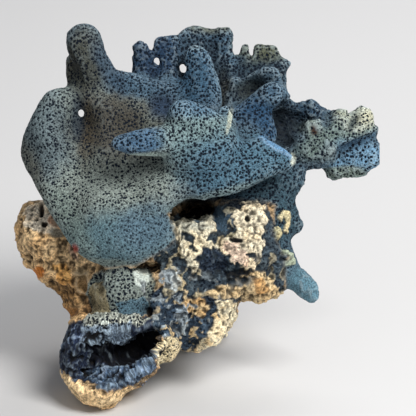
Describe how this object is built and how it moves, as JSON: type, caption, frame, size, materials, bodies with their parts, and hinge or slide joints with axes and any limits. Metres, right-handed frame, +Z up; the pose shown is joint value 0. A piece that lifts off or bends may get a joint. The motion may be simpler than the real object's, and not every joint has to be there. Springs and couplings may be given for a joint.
{
  "type": "blue ridge coral",
  "caption": "Upright colony of pitted blue coral: broad lobed plates, ridges and stubby fingers grown over a pale limestone lump, cut flat underneath to stand.",
  "frame": {"origin": "on the flat cut underneath, under the middle of the colony's box", "axes": "+Z up, +X to the right along the broad front plate, +Y from the front plate to the rear growth"},
  "size_m": [0.1832, 0.144, 0.1739],
  "materials": {
    "coral_grey_blue": "dull porous coral skeleton, grey-blue, full of small dark pores",
    "coral_deep_blue": "dull porous coral skeleton, deep blue, full of small dark pores",
    "coral_tan_tips": "dull porous coral skeleton, grey-green with rough yellow-tan tips",
    "limestone": "rough crumbling limestone, cream and tan with orange shadows"
  },
  "bodies": {
    "root": {"front_plate": "coral_grey_blue", "left_horn": "coral_grey_blue", "cross_finger": "coral_grey_blue", "knuckle_lobe": "coral_grey_blue", "lower_plate": "coral_deep_blue", "middle_plate": "coral_deep_blue", "cup_plate": "coral_deep_blue", "thumb": "coral_deep_blue", "back_fingers": "coral_deep_blue", "crest_plate": "coral_deep_blue", "crest_fingers": "coral_tan_tips", "right_arm": "coral_tan_tips", "right_knobs": "coral_deep_blue", "low_finger": "coral_deep_blue", "rear_growth": "coral_deep_blue", "limestone_base": "limestone"}
  },
  "joints": []
}
